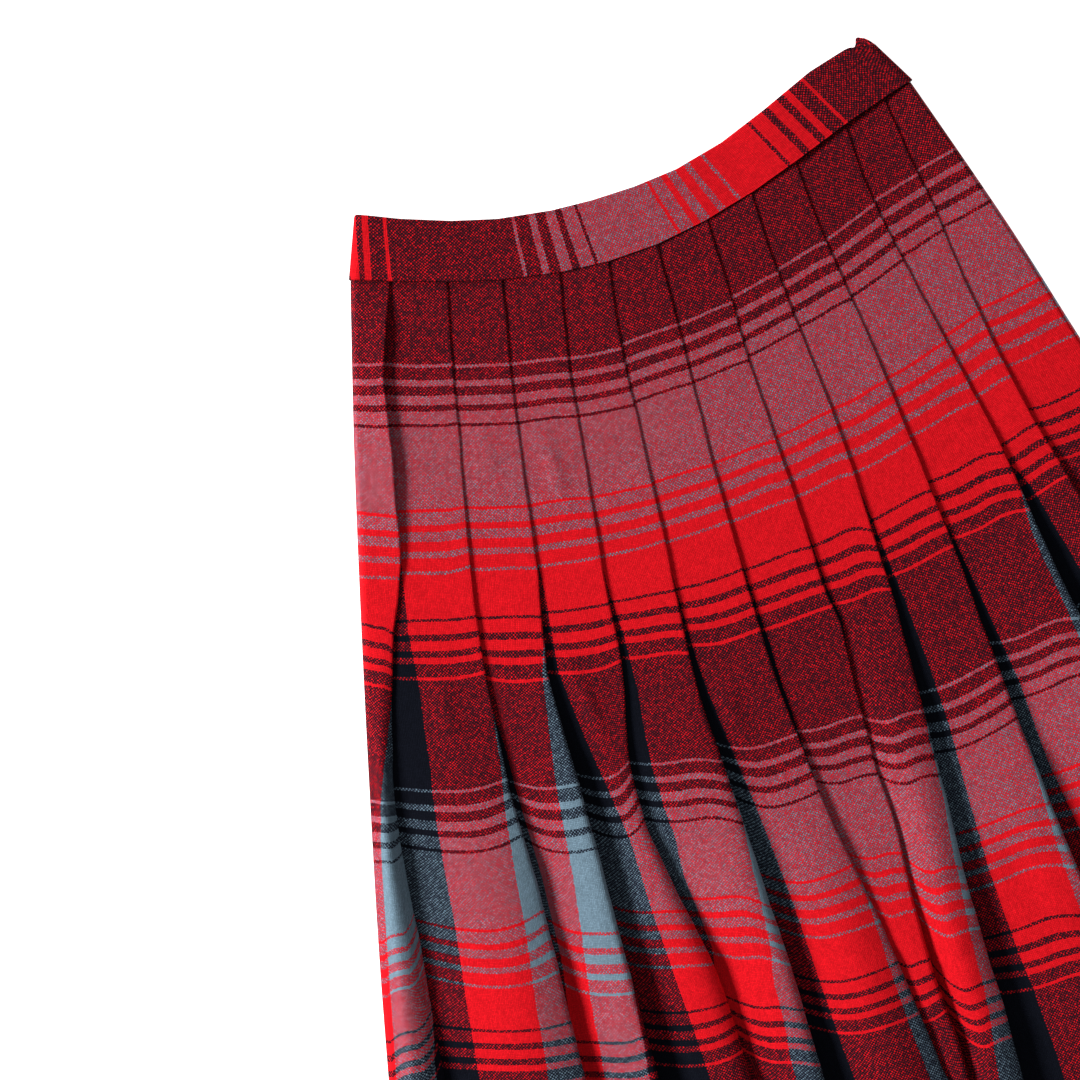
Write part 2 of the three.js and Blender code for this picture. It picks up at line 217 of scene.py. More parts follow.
# Open faces rise slowly out of the valley at their fold. Near the start of some faces the check is drawn
# further back, so their navy band covers the valley: partly navy cloth that shows there, partly painted shade
VALLEY_SHAPE = 1.45
VALLEY_SHAPES = {3: 1.9, 7: 1.1, 8: 1.2}
NAVY_SHADE_TUCKS, NAVY_SHADE_SHARE = {3: 28.0, 5: 6.0}, 0.12
# A narrow face between two rolls hangs between them: how far below the seam, and how high it starts
RAISED = {7: [(360, 0), (440, 6), (540, 7), (640, 2)]}
# The first fold stands up a little at the top too: how far below the seam, and how high
FIRST_LIFT = [(3, 0), (30, 4.0), (120, 5.0), (190, 0)]

# Soft creases: where each one starts and ends, across its face and below the seam, its width and depth.
# A negative depth is a ridge.
CREASES = [
    dict(face=4, across=(0.35, 0.68), below=(85, 155), width=0.12, depth=-2.0),
    dict(face=3, across=(0.3, 0.6), below=(70, 130), width=0.14, depth=-0.9),
    dict(face=2, across=(0.48, 0.6), below=(230, 305), width=0.11, depth=-2.0),
    dict(face=4, across=(0.22, 0.72), below=(225, 300), width=0.11, depth=-2.6),
    dict(face=6, across=(0.3, 0.38), below=(255, 315), width=0.11, depth=-1.8),
    dict(face=5, across=(0.4, 0.5), below=(290, 370), width=0.1, depth=-1.2),
    dict(face=9, across=(0.5, 0.6), below=(400, 510), width=0.14, depth=1.8),
    dict(face=11, across=(0.4, 0.6), below=(320, 440), width=0.13, depth=1.6),
    dict(face=3, across=(0.35, 0.6), below=(550, 640), width=0.13, depth=2.4),
    dict(face=8, across=(0.45, 0.55), below=(590, 680), width=0.12, depth=2.0),
    dict(face=5, across=(0.55, 0.4), below=(600, 690), width=0.12, depth=2.4),
]

# Small sideways bends of the folds: how far below the seam, and how far across
FOLD_BENDS = {
    1: [(25, -5), (60, -4), (105, 3), (170, 3), (215, -3), (290, 0)],
    2: [(25, -2), (100, 0), (230, -2), (310, -2), (370, 1)],
    3: [(180, 1), (240, -4.5), (310, 0)],
    4: [(200, -1), (230, 0.5), (260, -1), (290, -6), (310, -7.5), (345, -6.5), (370, -3), (400, 0.5),
        (430, 2.5), (470, 1), (500, -1)],
    6: [(280, 0), (340, 2), (395, 2), (450, 0), (530, 0), (560, 4), (600, 4)],
    7: [(30, 2), (80, 0), (240, 0), (260, 3), (300, 0), (350, -1), (390, 2), (460, 2), (520, 0), (570, -6)],
    8: [(35, -2), (90, 0), (200, 1), (270, 2), (380, 0), (520, 0), (570, -5), (600, -9)],
    9: [(35, -3), (100, 0)],
    10: [(35, -3), (100, 1), (180, -1), (240, 0)],
    11: [(8, -6), (30, -4), (75, 0), (220, 1), (245, 3)],
}

# The band's wall and height, and the heights of its upper side at the seam and along the top
BAND_WALL, BAND_HEIGHT = 3.0, 38.5
BAND_SEAM_TOP, BAND_TOP = 9.9, 8.7
# Half the strip's thickness as drawn, and how high its middle lies on the back
BAND_HALF, BAND_BACK = BAND_WALL / 2 - 0.1, BAND_WALL / 2
# The overlap of its ends: where the upper end starts, the room for the hook between them, and how soon the
# front rises over it
LAP_FROM, LAP_GAP, PLATE_GAP, LAP_RAMP = 9.4, 2.5, 0.3, 1.6
LAP_HEIGHT = BAND_BACK + BAND_WALL + LAP_GAP
# Where the upper end starts to come down, how high it lies at the side, and where the lower end stops
LAP_DOWN, LAP_FOOT, LAP_STOP = 10.4, 0.6, 10.25
# Where the strip turns over at the sides: how far from the edge it starts, ends and rises
TURN_START, TURN_EDGE, TURN_RISE = 3.7, 0.6, 2
BAND_COLUMNS = 16

# The strip's section from the seam up its outer side, over the rolled edge and down the inner side: how far
# up, and how far out from its middle. The outer side begins with the ditch along the seam.
BAND_PROFILE = (
    [(0.0, 0.9), (0.008, 1.0), (0.028, 1.0), (0.048, 0.4), (0.06, 0.4), (0.085, 1.0)]
    + [(share, 1.0 + 0.1 * math.sin(share * math.pi)) for share in np.linspace(0.12, 0.9, 14)]
    + [(0.95, 0.98), (0.975, 0.86), (0.99, 0.6), (1.0, 0.25), (1.0, -0.25), (0.99, -0.6), (0.975, -0.86)]
    + [(share, -1.0) for share in np.linspace(0.94, 0.03, 8)]
    + [(0.0, -0.9)]
)

# The strip above this height is the front's part of the band, and below it the back's
BAND_FRONT_FROM = 5
# Near the right end the top edge peaks on the back and dips on the front: how far, how far from the end,
# and how wide. From a height up the dip holds alone, and over the blend below it the two mix.
END_PEAK, END_DIP = (6.5, 3, 4), (-3.5, 6, 6)
END_DIP_FROM, END_BLEND = 7.5, 3

# The band's stripes: how far they lie from the front's left end, and their places in the check
BAND_MARKS = [(0.5, -22.0), (9.5, -11.5), (23.2, -0.95), (106.0, 70.1), (150.5, 106.6), (202.0, 156.4),
              (244.0, 192.9), (280.5, 223.6), (326.0, 260.1), (400.0, 330.0)]
# How much longer the strip lies than its cloth beyond the marks, its stripes' lean in degrees, and where in
# the unit its lower edge is cut
BAND_STRETCH, BAND_LEAN = 1.05, 8.0
BAND_CUT = NAVY_TO_RED + 3

# A colour ramp is read at this many even steps, and each pair of picks takes one of them. A stop lies a
# little before its step.
RAMP_STEPS, STOP_LEAD = 255, 0.25
# The middle of a noise, which is stretched to the range that is asked for
NOISE_LOW, NOISE_HIGH = 0.3, 0.7
# How far yarns wander from their line, in yarns, and how quickly
YARN_WANDER, WANDER_SCALE, WANDER_STEP = 0.3, 300, (3.7, 1.9, 0.0)
# How much of its own colour a yarn shows at its edge and at its crown, and how the one turns into the other
EDGE_SHARE, CROWN_SHARE, CROWN_SHAPE = 0.5, 0.98, 0.6
# How unlike crossings and patches of cloth are in that, and what makes a second number of a random one
OWN_SPREAD, SECOND_DRAW = 0.2, 7.3
MOTTLE, MOTTLE_SCALE, MOTTLE_STEP = 0.14, 420, (1.3, 5.1, 0.0)
# Brightness: painted shade in the gaps between yarns and painted highlight on their crowns, then the random
# tone of single crossings, of thick and thin stretches of yarn, and of patches
HUMP_TOP, GAP_SHADE, CROWN_HIGHLIGHT = 0.8, 0.7, 1.2
FLECK_RANGE, SLUB_RANGE, CLOUD_RANGE = (0.86, 1.14), (0.9, 1.1), (0.96, 1.04)
SLUB_SCALE, CLOUD_SCALE = (520, 170, 1), 85
# The relief of yarns and of the fine hair on them
HAIR_SCALE, HAIR_HEIGHT = 2600, 0.8
WEAVE_BUMP = dict(strength=0.6, distance=0.00025)
WOOL_ROUGHNESS, WOOL_GLOSS = 0.95, 0.04

NICKEL, NICKEL_ROUGHNESS = (0.62, 0.62, 0.63, 1), (0.28, 0.45)
BRUSHING, BRUSH_BUMP = (900, 9000, 1), dict(strength=0.15, distance=0.00005)

WHITE = (1, 1, 1, 1)
# The floor glows a little, as a lit table does, so that no shadow falls round the cloth
FLOOR_GLOW, FLOOR_TONE, FLOOR_SCALE = 0.9, (0.90, 0.92), 3.0
FLOOR_ROUGHNESS, FLOOR_GLOSS = 0.9, 0.1
FLOOR_REACH, FLOOR_DROP = 6.0, 0.0005
WORLD_LIGHT = 0.26
# Studio lights, in metres: where each one stands, what it faces, its size and its power
LIGHTS = [
    ("key", (-2.6, 0.97, 1.62), (0, 0.05, 0), (0.95, 0.95), 160.0),
    ("fill", (0.9, -0.6, 2.2), (0, 0, 0), (1.6, 1.6), 5.0),
]

# The photograph looks straight down, turned about the vertical, and crops the hem
PHOTO_PIXELS, PIXEL = 1080, 0.61
PHOTO_TURN = 19.0
PHOTO_CENTRE = (-123.8, -190.0)
LENS, SENSOR = 85.0, 36.0
CAMERA_PLANE = 10.0


def smoothstep(value):
    share = np.clip(value, 0.0, 1.0)
    return share * share * (3 - 2 * share)


def mix(a, b, share):
    return a + (b - a) * share


def at_marks(marks, wanted):
    """What marks say at lengths below the seam: each mark is a length and a value."""
    return np.interp(wanted, *zip(*marks))


def lengths_along(points):
    """How far along a line each of its points lies."""
    return np.concatenate([[0], np.cumsum(np.hypot(*np.diff(points, axis=0).T))])


def fold_line(line):
    """A dense smooth curve through the seam point and the stations, with its lengths."""
    points = np.array([(line["seam"][0], -line["seam"][1])]
                      + [(x, -y) for x, y in zip(line["across"], STATIONS)], float)
    padded = np.vstack([points[0], points, points[-1]])
    share = np.linspace(0, 1, CURVE_STEPS, endpoint=False)[:, None]
    pieces = []
    for index in range(1, len(padded) - 2):
        before, start, end, after = padded[index - 1:index + 3]
        out, into = (end - before) / 2, (after - start) / 2
        pieces.append((2 * start - 2 * end + out + into) * share ** 3
                      + (-3 * start + 3 * end - 2 * out - into) * share ** 2 + out * share + start)
    curve = np.vstack(pieces + [points[-1:]])
    return curve, lengths_along(curve)


def point_at(curve, lengths, wanted):
    """Points at lengths below the seam, straight on past the curve's end."""
    flat = np.stack([np.interp(wanted, lengths, curve[:, axis]) for axis in (0, 1)], -1)
    tangent = (curve[-1] - curve[-2]) / np.hypot(*(curve[-1] - curve[-2]))
    return flat + np.maximum(0, wanted - lengths[-1])[:, None] * tangent


def make_rows(lines, wanted):
    """Fold points of every row, shaped (rows, lines, 2), and distances along each row."""
    points = np.stack([point_at(*fold_line(line), wanted) for line in lines], 1)
    steps = np.hypot(*np.moveaxis(np.diff(points, axis=1), -1, 0))
    along = np.concatenate([np.zeros((len(wanted), 1)), np.cumsum(steps, 1)], 1)
    return points, along


def place_on_rows(points, along, distance):
    """Where distances along each row lie on the surface, for an array shaped (rows, columns)."""
    out = np.empty(distance.shape + (2,))
    for row in range(len(points)):
        index = np.clip(np.searchsorted(along[row], distance[row]) - 1, 0, along.shape[1] - 2)
        low, high = along[row][index], along[row][index + 1]
        share = ((distance[row] - low) / (high - low))[:, None]
        out[row] = mix(points[row][index], points[row][index + 1], share)
    return out


def wave(wanted, seed, size):
    """A slow uneven wander, the same on every run."""
    total = np.zeros_like(wanted)
    for order, length in enumerate(WAVE_LENGTHS):
        phase = seed * (WAVE_PHASE + order * WAVE_PHASE_STEP)
        total += math.sqrt(length / WAVE_LENGTHS[-1]) * np.sin(wanted / length * 2 * math.pi + phase)
    return total * size / 2


def slide_at(face, share, wanted):
    """How far the cloth has slid at a share across a face, at lengths below the seam."""
    row = SLIDES[face - 1]
    start, middle, end = (np.interp(wanted, SLIDE_STATIONS, row[key]) for key in ("start", "middle", "end"))
    if share < SLIDE_MIDDLE:
        return mix(middle, start, (1 - share / SLIDE_MIDDLE) ** 2)
    return mix(middle, end, ((share - SLIDE_MIDDLE) / (1 - SLIDE_MIDDLE)) ** 2)


def bend_at(fold, wanted):
    return at_marks(FOLD_BENDS.get(fold, [(0, 0)]), wanted)


def crease_at(face, share, wanted):
    """How deep the creases are at a share across a face, at lengths below the seam."""
    total = np.zeros_like(wanted)
    for crease in CREASES:
        if crease["face"] != face:
            continue
        low, high = crease["below"]
        part = np.clip((wanted - low) / (high - low), 0, 1)
        off = (share - mix(*crease["across"], part)) / crease["width"]
        total += crease["depth"] * np.exp(-off ** 2) * np.sin(part * math.pi) ** 2
    return total


def face_heights(index, shares, low, crest, top_share, drop, opened, wanted):
    """Heights across a face, from the valley at the fold before it to its own crest or past it."""
    valley = VALLEY_SHAPES.get(index, VALLEY_SHAPE)
    heights = []
    for share in shares:
        rise = math.sin(min(1, share / top_share) ** valley * math.pi / 2)
        fall = max(0.0, share - top_share) / (1 - top_share) if top_share < 1 else 0.0
        heights.append(mix(low, crest, mix(share, rise, opened)) - drop * fall ** 2
                       - crease_at(index, share, wanted))
    return heights


def lengths_across(places, heights):
    """The cloth's length from the start of a face to each of its columns."""
    lengths = [np.zeros(len(places[0]))]
    for step in range(1, len(places)):
        across, up = places[step] - places[step - 1], heights[step] - heights[step - 1]
        lengths.append(lengths[-1] + np.hypot(across, up))
    return lengths


def cloth_shown(index, wanted, length, shows):
    """Where in its unit a face starts, and how much of its length shows new cloth."""
    pressed = shows[0] if index == 1 else np.maximum(FOLD_YARN - length, PRESSED_FIRST)
    loose = smoothstep((wanted - NAVY_FROM.get(index, OTHER_NAVY_FROM)) / NAVY_FADE)
    show = mix(pressed, shows[index - 1], loose)
    blue_shows = smoothstep((wanted - BLUE_FROM.get(index, OTHER_BLUE_FROM)) / BLUE_FADE)
    return show, mix(np.minimum(1, (PRESSED_LAST - show) / length), 1, blue_shows)


def under_fold(end, depth, nose, nose_height, next_low):
    """Places and heights of a fold's hidden part, from its nose to where the next face starts."""
    rows = len(end)
    return [
        (mix(end - nose, end - depth, 0.5), mix(nose_height - nose, FRONT_BASE + LAYER_STEP, 0.5)),
        (end - depth, np.full(rows, FRONT_BASE + LAYER_STEP)),
        (end - depth - LAYER_STEP / 2, np.full(rows, FRONT_BASE + LAYER_STEP / 2)),
        (end - depth, np.full(rows, FRONT_BASE)),
        (mix(end - depth, end, 0.5), mix(FRONT_BASE, next_low, 0.5)),
    ]


def front_section(points, along, wanted):
    """Distances along the row, heights and both cloth coordinates of every column of the front."""
    rows = len(wanted)
    shut_lift = FOLD_SHARE * 2 * LAYER_STEP
    opens = [smoothstep((wanted - fold["opens"]) / OPENING_LENGTH) for fold in FOLDS]
    shows = [np.interp(wanted, SHOW_STATIONS, row) for row in SHOWS]
    shares = 1 - (1 - np.linspace(0, 1, FACE_COLUMNS)) ** FACE_CROWDING
    bends = [bend_at(fold, wanted) for fold in range(along.shape[1])]
    pressed_step = at_marks(PRESSED_STEPS, wanted)
    xs, zs, us, slides = [], [], [], []
    # The left side edge comes up from the side seam
    xs.append(along[:, 0])
    zs.append(np.full(rows, SIDE_SEAM_HEIGHT + SIDE_SEAM_GAP))
    us.append(shows[0] - SIDE_CLOTH)
    slides.append(slide_at(1, 0, wanted))
    open_before = opens[0]
    last = along.shape[1] - 1
    for index in range(1, last + 1):
        fold = FOLDS[index - 1] if index < last else None
        start = along[:, index - 1] + bends[index - 1] + (SIDE_RISE if index == 1 else 0)
        end = along[:, index] + bends[index]
        width = end - start
        opened = opens[index - 1] if fold else open_before
        low = FRONT_BASE + shut_lift * (1 - open_before) + (SIDE_LIFT if index == 1 else 0)
        if index in RAISED:
            low = low + at_marks(RAISED[index], wanted)
        if fold:
            roll = fold["roll"] * mix(YOUNG_ROLL, 1, wanted / SKIRT_LENGTH)
            crest = FRONT_BASE + shut_lift * (1 - opened) + mix(pressed_step, roll, opened)
            crest += wave(wanted, index, CREST_WANDER) * opened
            if index == 1:
                crest += at_marks(FIRST_LIFT, wanted)
            end = end + wave(wanted, index + LINE_SEED, LINE_WANDER)
        else:
            crest = low + SIDE_RISE
        top_share, drop = FALLS.get(index, (1.0, 0.0))
        drop = np.minimum(drop * opened, (crest - FRONT_BASE) * FALL_LIMIT)
        room = np.maximum(LAYER_STEP, crest - drop - FRONT_BASE - NOSE_LAYERS * LAYER_STEP)
        nose = mix(LAYER_STEP, np.minimum(np.minimum(OPEN_NOSE, width * NOSE_SHARE), room), opened) / 2
        tilt = np.arctan2(2 * drop, (1 - top_share) * width) if drop.any() else np.zeros(rows)
        face_end = end - (nose * (1 - np.sin(tilt)) if fold else SIDE_RISE)
        face_x = [mix(start, face_end, share) for share in shares]
        face_z = face_heights(index, shares, low, crest, top_share, drop, opened, wanted)
        crest = crest - drop
        lengths = lengths_across(face_x, face_z)
        show, reach = cloth_shown(index, wanted, lengths[-1], shows)
        base = (index - 1) * UNIT + show
        xs.extend(face_x)
        zs.extend(face_z)
        # Painted shade, partly real navy: the first columns of some faces are drawn further back in the
        # check, into their navy band
        navy_shade_tuck = NAVY_SHADE_TUCKS.get(index, 0.0) * opened
        us.extend(base + part * reach - (navy_shade_tuck if share < NAVY_SHADE_SHARE else 0)
                  for part, share in zip(lengths, shares))
        length = lengths[-1] * reach
        slides.extend(slide_at(index, share, wanted) for share in shares)
        edge_slide = slide_at(index, 1.0, wanted)
        if not fold:
            xs.append(along[:, last])
            zs.append(np.full(rows, SIDE_SEAM_HEIGHT + SIDE_SEAM_GAP))
            us.append(base + length + SIDE_CLOTH)
            slides.append(edge_slide)
            continue
        nose_height = crest - nose * np.cos(tilt)
        for share in np.linspace(0, 1, NOSE_COLUMNS)[1:]:
            angle = mix(tilt, math.pi, share)
            xs.append(end - nose + nose * np.sin(angle))
            zs.append(nose_height + nose * np.cos(angle))
            us.append(base + length + nose * (angle - tilt))
            slides.append(edge_slide)
        depth = mix(np.minimum(FOLD_DEPTH, width * FOLD_SHARE),
                    np.minimum(OPEN_DEPTH, width * OPEN_SHARE), opened)
        hidden = under_fold(end, depth, nose, nose_height, FRONT_BASE + shut_lift * (1 - opened))
        turned = base + length + nose * math.pi
        # The hidden cloth runs on to the next face's start, which is drawn back into its navy band as painted
        # shade, partly real navy
        resumed = index * UNIT + shows[index] - NAVY_SHADE_TUCKS.get(index + 1, 0.0) * opened
        for step, (x, z) in enumerate(hidden):
            part = (step + 1) / (len(hidden) + 1)
            xs.append(x)
            zs.append(z)
            us.append(mix(turned, resumed, part))
            slides.append(mix(edge_slide, slide_at(index + 1, 0, wanted), part))
        open_before = opened
    return [np.stack(columns, 1) for columns in (xs, zs, us, slides)]


def grid_mesh(name, places, uvs):
    """A mesh through a grid of places shaped (rows, columns, 3), with cloth coordinates in metres."""
    rows, columns = places.shape[:2]
    mesh = bpy.data.meshes.new(name)
    index = np.arange(rows * columns).reshape(rows, columns)
    quads = np.stack([index[:-1, :-1], index[1:, :-1], index[1:, 1:], index[:-1, 1:]], -1).reshape(-1, 4)
    mesh.from_pydata(places.reshape(-1, 3).tolist(), [], quads.tolist())
    layer = mesh.uv_layers.new(name="cloth")
    layer.data.foreach_set("uv", uvs.reshape(-1, 2)[quads.reshape(-1)].astype(np.float32).ravel())
    mesh.polygons.foreach_set("use_smooth", np.ones(len(quads), bool))
    mesh.update()
    piece = bpy.data.objects.new(name, mesh)
    bpy.context.scene.collection.objects.link(piece)
    return piece


def thicken(piece, thickness):
    """Gives a sheet its real thickness on both sides of its middle."""
    solid = piece.modifiers.new("thickness", "SOLIDIFY")
    solid.thickness = thickness * MM
    solid.offset = 0
    bpy.context.view_layer.objects.active = piece
    piece.select_set(True)
    bpy.ops.object.modifier_apply(modifier=solid.name)
    piece.select_set(False)


def to_frame(flat, heights):
    """Joins places in the fold table and heights into metres in the frame."""
    return np.dstack([flat[..., 0] + ORIGIN[0], flat[..., 1] + ORIGIN[1], heights]) * MM


def front_panel():
    wanted = np.concatenate([[0], np.linspace(SEAM_GAP, PRESSED_TO, PRESSED_ROWS),
                             np.linspace(OPEN_FROM, SKIRT_LENGTH, OPEN_ROWS)])
    points, along = make_rows(LINES, wanted)
    distance, height, u, slide = front_section(points, along, wanted)
    # The top edge turns down into the seam under the band
    height[0] -= SEAM_DIP
    flat = place_on_rows(points, along, distance)
    v = wanted[:, None] + slide
    piece = grid_mesh("front_cloth", to_frame(flat, height), np.dstack([u, v]) * MM)
    thicken(piece, CLOTH)
    return piece


def back_lines():
    """The back's folds start at the front's along the seam, and fan out evenly between the side edges."""
    lines = []
    for line in LINES:
        share = (line["seam"][0] - LEFT["seam"][0]) / (RIGHT["seam"][0] - LEFT["seam"][0])
        across = [mix(a, b, share) for a, b in zip(LEFT["across"], RIGHT["across"])]
        lines.append(dict(seam=line["seam"], across=across))
    return lines


def back_panel():
    """The back, flat on the surface. It is worked out face up with X turned round, then turned over."""
    wanted = np.linspace(SEAM_GAP, SKIRT_LENGTH, BACK_ROWS)
    points, along = make_rows(back_lines(), wanted)
    points = points[:, ::-1].copy()
    points[..., 0] *= -1
    along = along[:, -1:] - along[:, ::-1]
    outer, nose = BACK_OUTER, LAYER_STEP / 2
    rows, last = len(wanted), along.shape[1] - 1
    xs, zs, us = [], [], []

    def add(x, z, u):
        xs.append(x)
        zs.append(np.full(rows, z))
        us.append(np.broadcast_to(u, (rows,)))

    add(along[:, 0], SIDE_SEAM_GAP - SIDE_SEAM_HEIGHT, BACK_SIDE_SHOW)
    for index in range(1, last + 1):
        start, end = along[:, index - 1], along[:, index]
        step = np.minimum(BACK_FLAT, (end - start) * BACK_FLAT_SHARE)
        base = (index - 1) * UNIT + BACK_SHOW
        if index == 1:
            add(start + SIDE_RISE, outer, base + SIDE_RISE)
        else:
            halfway = mix(BACK_START, step, 0.5)
            add(start + BACK_START, outer - 2 * LAYER_STEP, base + BACK_START)
            add(start + halfway, outer - LAYER_STEP, base + halfway)
            add(start + step, outer, base + step)
        face_end = end - (nose if index < last else SIDE_RISE)
        first = start + step
        for share in QUARTERS:
            add(mix(first, face_end, share), outer, base + mix(step, face_end - start, share))
        face = base + face_end - start
        if index == last:
            add(end, SIDE_SEAM_GAP - SIDE_SEAM_HEIGHT, face + SIDE_CLOTH)
            continue
        for share in QUARTERS:
            angle = share * math.pi
            x = end - nose + nose * math.sin(angle)
            add(x, outer - nose + nose * math.cos(angle), face + nose * angle)
        depth = np.minimum(FOLD_DEPTH, end - start - step - BACK_LEAST_DEPTH)
        depth = np.maximum(BACK_LEAST_DEPTH, depth)
        turned, resumed = face + nose * math.pi, index * UNIT + BACK_SHOW
        inner = end - depth
        for x, layers, part in ((inner, 1, 0.4), (inner - nose, 1.5, 0.5), (inner, 2, 0.55)):
            add(x, outer - layers * LAYER_STEP, mix(turned, resumed, part))
    distance, height, u = np.stack(xs, 1), np.stack(zs, 1), np.stack(us, 1)
    flat = place_on_rows(points, along, distance)
    flat[..., 0] *= -1
    v = np.repeat(wanted[:, None], u.shape[1], 1)
    piece = grid_mesh("back_cloth", to_frame(flat, -height), np.dstack([u, v]) * MM)
    thicken(piece, CLOTH)
    return piece


def smooth_path(path, steps):
    """A smooth curve through the stations, which doesn't swing out between them."""
    index = np.clip(np.floor(steps).astype(int), 0, len(path) - 2)
    share = (steps - index)[:, None]
    gap = np.diff(path, axis=0)
    length = np.hypot(*gap.T)
    slope = np.zeros_like(path)
    for station in range(1, len(path) - 1):
        before, after = gap[station - 1] / length[station - 1], gap[station] / length[station]
        slope[station] = (before + after) / 2
    slope[0], slope[-1] = gap[0] / length[0], gap[-1] / length[-1]
    reach = np.minimum(np.concatenate([length[:1], length]), np.concatenate([length, length[-1:]]))[:, None]
    pull = slope * reach
    start, end = path[index], path[index + 1]
    return (mix(start, end, share * share * (3 - 2 * share))
            + pull[index] * (share ** 3 - 2 * share ** 2 + share)
            + pull[index + 1] * (share ** 3 - share ** 2))


def path_normals(path):
    tangent = np.gradient(path, axis=0)
    tangent /= np.hypot(*tangent.T)[:, None]
    return np.stack([-tangent[:, 1], tangent[:, 0]], 1)


def band_stations(height, last):
    """The strip's way round: numbers in the fold table, millimetres beyond them, and heights."""

    def front_at(number):
        raised = smoothstep(number - LAP_FROM + LAP_RAMP)
        return mix(height - BAND_BACK, LAP_HEIGHT + BAND_WALL + PLATE_GAP, raised)

    foot = BAND_BACK + LAP_FOOT
    return (
        [(LAP_FROM, 0, LAP_HEIGHT), (last - 2, 0, LAP_HEIGHT), (LAP_DOWN, 0, LAP_HEIGHT), (last - 1, 0, foot),
         (last, -TURN_START, foot), (last, -TURN_EDGE, BAND_BACK + TURN_RISE),
         (last, -TURN_EDGE, front_at(last) - TURN_RISE), (last, -TURN_START, front_at(last))]
        + [(number, 0, front_at(number)) for number in range(last - 1, 0, -1)]
        + [(0, TURN_START, front_at(0)), (0, TURN_EDGE, front_at(0) - TURN_RISE),
           (0, TURN_EDGE, BAND_BACK + TURN_RISE), (0, TURN_START, BAND_BACK)]
        + [(number, 0, BAND_BACK) for number in range(1, last - 1)]
        + [(LAP_STOP, 0, BAND_BACK)]
    )


def band_line(along, height):
    """The smooth middle line of the strip at one edge: distances along the front, and heights."""
    last = len(along) - 1
    path = []
    for number, inset, z in band_stations(height, last):
        index = min(int(number), last - 1)
        path.append((mix(along[index], along[index + 1], number - index) + inset, z))
    steps = np.linspace(0, len(path) - 1, (len(path) - 1) * BAND_COLUMNS + 1)
    return smooth_path(np.array(path), steps)


def band():
    """The waistband: one strip round the waist, folded double, with its ends overlapped on the back."""
    seam, top = (np.array([(line[edge][0], -line[edge][1]) for line in LINES], float)
                 for edge in ("seam", "top"))
    seam_along, top_along = lengths_along(seam), lengths_along(top)
    seam_line, top_line = band_line(seam_along, BAND_SEAM_TOP), band_line(top_along, BAND_TOP)
    seam_normal, top_normal = path_normals(seam_line), path_normals(top_line)
    band_up = (top[-1] - seam[-1]) / np.hypot(*(top[-1] - seam[-1]))
    rows, uvs = [], []
    length = lengths_along(seam_line)
    # The front's left end is where the strip turns under
    in_front = seam_line[:, 1] > BAND_FRONT_FROM
    left_end = length[int(np.argmin(np.where(in_front, seam_line[:, 0], np.inf)))]
    for share, side in BAND_PROFILE:
        line = mix(seam_line, top_line, share)
        normal = mix(seam_normal, top_normal, share)
        line = line + normal * BAND_HALF * side
        row_points = mix(seam, top, share)
        row_along = mix(seam_along, top_along, share)
        flat = place_on_rows(row_points[None], row_along[None], line[:, 0][None])[0]
        flat = flat + (share * end_shift(row_along[-1] - line[:, 0], line[:, 1]))[:, None] * band_up
        rows.append(np.column_stack([flat[:, 0] + ORIGIN[0], flat[:, 1] + ORIGIN[1], line[:, 1]]))
        lean = (share - 0.5) * BAND_HEIGHT * math.tan(math.radians(BAND_LEAN))
        uvs.append(np.column_stack([
            np.full(len(line), BAND_CUT + share * BAND_HEIGHT),
            band_place(left_end - length + lean),
        ]))
    piece = grid_mesh("band_cloth", np.array(rows) * MM, np.array(uvs) * MM)
    close_band(piece, len(rows), len(rows[0]))
    return piece


def end_shift(distance, height):
    """How far the band's top edge stands up near the right end: the back's peaks, and the front's dips."""
    under = smoothstep((END_DIP_FROM - height) / END_BLEND)
    peak, dip = (
        rise * np.exp(-((distance - place) / width) ** 2) for rise, place, width in (END_PEAK, END_DIP)
    )
    return mix(dip, peak, under)


def band_place(distance):
    """The place in the check at a distance along the band, and straight on beyond the marks."""
    marks = np.array(BAND_MARKS)
    low, high = marks[0], marks[-1]
    inside = np.interp(distance, marks[:, 0], marks[:, 1])
    before, after = np.minimum(0, distance - low[0]), np.maximum(0, distance - high[0])
    return inside + before / BAND_STRETCH + after / BAND_STRETCH


def close_band(piece, rows, columns):
    """Joins the inner side to the outer one along the seam and at both ends."""
    mesh = piece.data
    layer = mesh.uv_layers["cloth"]
    uv_of = {}
    for loop in mesh.loops:
        uv_of[loop.vertex_index] = tuple(layer.data[loop.index].uv)
    faces = [tuple(polygon.vertices) for polygon in mesh.polygons]
    for column in range(columns - 1):
        low = (rows - 1) * columns + column
        faces.append((low, column, column + 1, low + 1)[::-1])
    faces.append(tuple(row * columns for row in range(rows))[::-1])
    faces.append(tuple(row * columns + columns - 1 for row in range(rows)))
    vertices = [tuple(vertex.co) for vertex in mesh.vertices]
    mesh.clear_geometry()
    mesh.from_pydata(vertices, [], faces)
    layer = mesh.uv_layers.get("cloth") or mesh.uv_layers.new(name="cloth")
    for loop in mesh.loops:
        layer.data[loop.index].uv = uv_of[loop.vertex_index]
    mesh.polygons.foreach_set("use_smooth", np.ones(len(faces), bool))
    mesh.update()


